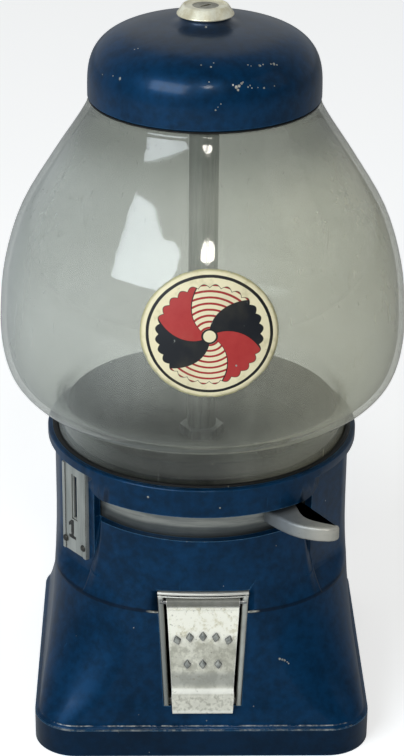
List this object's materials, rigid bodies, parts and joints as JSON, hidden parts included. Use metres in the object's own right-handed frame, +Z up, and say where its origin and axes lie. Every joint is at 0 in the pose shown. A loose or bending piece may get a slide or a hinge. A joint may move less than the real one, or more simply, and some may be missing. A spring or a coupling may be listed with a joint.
{
  "type": "gumball vending machine",
  "caption": "Counter gumball machine: navy cast base and body, clear glass globe, domed locking lid, hand lever, coin plate and hinged delivery flap.",
  "frame": {"origin": "middle of the foot, on the surface the machine stands on", "axes": "+Z up along the centre rod, -Y towards the front with the flap, +X to the user's right, on the lever's side"},
  "size_m": [0.1934, 0.1934, 0.352],
  "materials": {
    "navy_paint": "deep navy gloss paint, chipped at the edges",
    "cast_aluminium": "worn bright casting",
    "satin_band": "satin grey, rubbed",
    "satin_plate": "satin stamping",
    "satin_tube": "drawn tube",
    "steel": "plain zinc-plated",
    "grey_steel": "dull dark grey",
    "lock_brass": "worn nickel over brass",
    "bush_brass": "turned",
    "black_rubber": "matt black",
    "glass": "clear moulded glass, hazed and scratched inside"
  },
  "bodies": {
    "housing": {"base_casting": "navy_paint", "body_casting": "navy_paint", "bottom_plate": "steel", "bottom_plate_screws": "steel", "body_screws": "steel", "flap_frame": "cast_aluminium", "flap_pin": "steel", "gum_chute": "steel", "coin_plate": "satin_plate", "coin_plate_rivets": "grey_steel", "drum_deck": "steel", "deck_screws": "steel", "thrust_washer": "bush_brass", "pivot_bush": "bush_brass", "return_spring": "steel", "stop_pin": "steel", "pawl_pin": "steel", "hopper_floor": "grey_steel", "hopper_ring": "grey_steel", "center_rod": "steel", "rod_nut": "steel", "rod_washer": "steel", "rod_collar": "steel", "rod_sleeve": "satin_tube", "rod_catch": "steel", "globe_gasket": "black_rubber", "globe": "glass", "lid_gasket": "black_rubber"},
    "drum": {"operating_drum": "satin_band", "drum_head": "satin_band", "pocket_tube": "satin_tube", "coin_carrier": "steel", "notched_sector": "steel", "lever_handle": "satin_band", "lever_screws": "steel"},
    "flap": {"flap_door": "cast_aluminium"},
    "pawl": {"coin_pawl": "steel"},
    "lid_assembly": {"lid": "navy_paint", "lock_barrel": "lock_brass", "lock_nut": "steel"},
    "lock": {"lock_plug": "lock_brass", "lock_bolt": "steel"}
  },
  "joints": [
    {"name": "lever_turn", "type": "hinge", "parent": "housing", "child": "drum", "pos_m": [0, 0, 0.118], "axis": [0, 0, 1], "range_deg": [-66, 0], "stiffness_Nm_per_rad": 0.25, "springref_deg": 11.46},
    {"name": "flap_swing", "type": "hinge", "parent": "housing", "child": "flap", "pos_m": [0, -0.06768, 0.07817], "axis": [-1, 0, 0], "range_deg": [0, 65]},
    {"name": "pawl_drop", "type": "hinge", "parent": "housing", "child": "pawl", "pos_m": [0.02592, 0.02779, 0.1085], "axis": [0, 0, 1], "range_deg": [0, 12]},
    {"name": "lid_lift", "type": "slide", "parent": "housing", "child": "lid_assembly", "axis": [0, 0, 1], "range_m": [0, 0.08]},
    {"name": "lock_turn", "type": "hinge", "parent": "lid_assembly", "child": "lock", "pos_m": [0, 0, 0.34], "axis": [0, 0, 1], "range_deg": [0, 90]}
  ]
}
